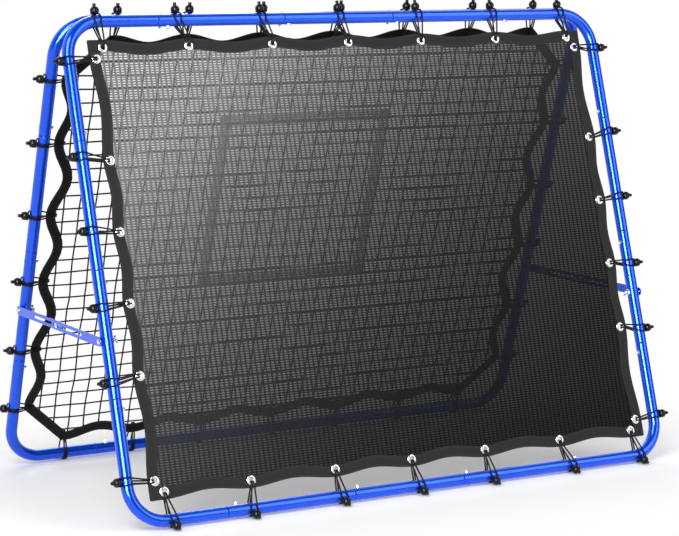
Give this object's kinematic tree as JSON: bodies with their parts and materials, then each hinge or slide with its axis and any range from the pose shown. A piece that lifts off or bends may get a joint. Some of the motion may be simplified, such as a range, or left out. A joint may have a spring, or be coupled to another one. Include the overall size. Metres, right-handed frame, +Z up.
{
  "type": "pitch back rebounder",
  "caption": "Folding A-frame rebounder of steel tube: a tight mesh mat in front and a knotted net with a strike zone behind, both held by ball bungees.",
  "frame": {"origin": "on the ground, midway between the front and back feet and midway along the rails", "axes": "+X along the rails to the right as seen by the thrower, -Y towards the thrower, +Z up"},
  "size_m": [1.5698, 0.8348, 1.1906],
  "materials": {
    "paint": "glossy blue powder coat on steel tube and flat bar",
    "mesh": "black coated polyester mesh",
    "net": "black knotted polyester net with a webbing border",
    "webbing": "tan woven webbing",
    "elastic": "black covered elastic cord and moulded balls",
    "zinc": "bright zinc plate"
  },
  "bodies": {
    "front_frame": {"front_bottom_left_bend": "paint", "front_bottom_rail_left": "paint", "front_bottom_rail_middle": "paint", "front_bottom_rail_right": "paint", "front_bottom_right_bend": "paint", "front_bungee_bottom_left": "elastic", "front_bungee_bottom_right": "elastic", "front_bungee_top_left": "elastic", "front_bungee_top_right": "elastic", "front_left_leg_lower": "paint", "front_left_leg_upper": "paint", "front_left_pivot_bolt": "zinc", "front_mat": "mesh", "front_right_leg_lower": "paint", "front_right_leg_upper": "paint", "front_right_pivot_bolt": "zinc", "front_top_left_bend": "paint", "front_top_rail_left": "paint", "front_top_rail_middle": "paint", "front_top_rail_right": "paint", "front_top_right_bend": "paint", "hinge_pin_half_left": "paint", "hinge_pin_half_right": "paint"},
    "back_frame": {"back_bottom_left_bend": "paint", "back_bottom_rail_left": "paint", "back_bottom_rail_middle": "paint", "back_bottom_rail_right": "paint", "back_bottom_right_bend": "paint", "back_bungee_bottom_left": "elastic", "back_bungee_bottom_right": "elastic", "back_bungee_top_left": "elastic", "back_bungee_top_right": "elastic", "back_left_leg_lower": "paint", "back_left_leg_upper": "paint", "back_left_pivot_bolt": "zinc", "back_net": "net", "back_right_leg_lower": "paint", "back_right_leg_upper": "paint", "back_right_pivot_bolt": "zinc", "back_top_left_bend": "paint", "back_top_rail_left": "paint", "back_top_rail_middle": "paint", "back_top_rail_right": "paint", "back_top_right_bend": "paint", "hinge_socket_half_left": "paint", "hinge_socket_half_right": "paint", "strike_zone_band": "webbing"},
    "front_left_bar": {"front_left_brace_bar": "paint"},
    "front_right_bar": {"front_right_brace_bar": "paint"},
    "back_left_bar": {"back_left_brace_bar": "paint"},
    "back_right_bar": {"back_right_brace_bar": "paint"},
    "left_lock": {"left_lock_bolt": "zinc", "left_lock_wing_nut": "zinc"},
    "right_lock": {"right_lock_bolt": "zinc", "right_lock_wing_nut": "zinc"}
  },
  "joints": [
    {"name": "fold", "type": "hinge", "parent": "front_frame", "child": "back_frame", "pos_m": [0, 0, 1.14765], "axis": [1, 0, 0], "range_deg": [-16.2, 2.2]},
    {"name": "front_left_bar_turn", "type": "hinge", "parent": "front_frame", "child": "front_left_bar", "pos_m": [-0.7793, -0.24916, 0.42727], "axis": [1, 0, 0], "range_deg": [-8.2, 1.2]},
    {"name": "back_left_bar_turn", "type": "hinge", "parent": "back_frame", "child": "back_left_bar", "pos_m": [-0.7765, 0.24916, 0.42727], "axis": [1, 0, 0], "range_deg": [-1.2, 8.2]},
    {"name": "left_lock_slide", "type": "slide", "parent": "front_left_bar", "child": "left_lock", "axis": [0, 1, 0], "range_m": [-0.105, 0.015]},
    {"name": "front_right_bar_turn", "type": "hinge", "parent": "front_frame", "child": "front_right_bar", "pos_m": [0.7793, -0.24916, 0.42727], "axis": [1, 0, 0], "range_deg": [-8.2, 1.2]},
    {"name": "back_right_bar_turn", "type": "hinge", "parent": "back_frame", "child": "back_right_bar", "pos_m": [0.7765, 0.24916, 0.42727], "axis": [1, 0, 0], "range_deg": [-1.2, 8.2]},
    {"name": "right_lock_slide", "type": "slide", "parent": "front_right_bar", "child": "right_lock", "axis": [0, 1, 0], "range_m": [-0.105, 0.015]}
  ],
  "couplings": [
    {"joint": "front_left_bar_turn", "follows": "fold", "ratio": 0.5},
    {"joint": "back_left_bar_turn", "follows": "fold", "ratio": -0.5},
    {"joint": "left_lock_slide", "follows": "fold", "m_per_rad": 0.366},
    {"joint": "front_right_bar_turn", "follows": "fold", "ratio": 0.5},
    {"joint": "back_right_bar_turn", "follows": "fold", "ratio": -0.5},
    {"joint": "right_lock_slide", "follows": "fold", "m_per_rad": 0.366}
  ]
}
